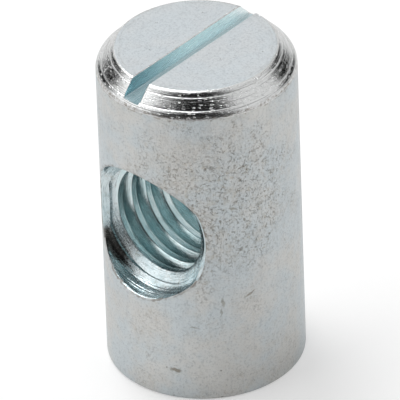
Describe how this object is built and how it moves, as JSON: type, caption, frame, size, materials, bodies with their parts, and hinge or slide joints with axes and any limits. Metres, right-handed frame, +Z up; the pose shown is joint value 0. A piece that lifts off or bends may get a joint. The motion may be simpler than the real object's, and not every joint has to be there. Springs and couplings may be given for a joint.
{
  "type": "barrel nut",
  "caption": "Cylindrical cross-dowel nut with a tapped hole through its side, a chamfered end and a screwdriver slot that lines up with the hole.",
  "frame": {"origin": "centre of the plain foot, which the part stands on", "axes": "+Z up the barrel's axis to the slotted end; the tapped cross hole and the screwdriver slot both run along Y"},
  "size_m": [0.012, 0.012, 0.0215],
  "materials": {
    "plated_steel": "zinc plated, satin on the outside and glossy with a blue-green tint in the slot and the thread"
  },
  "bodies": {
    "root": {"barrel_nut": "plated_steel"}
  },
  "joints": []
}
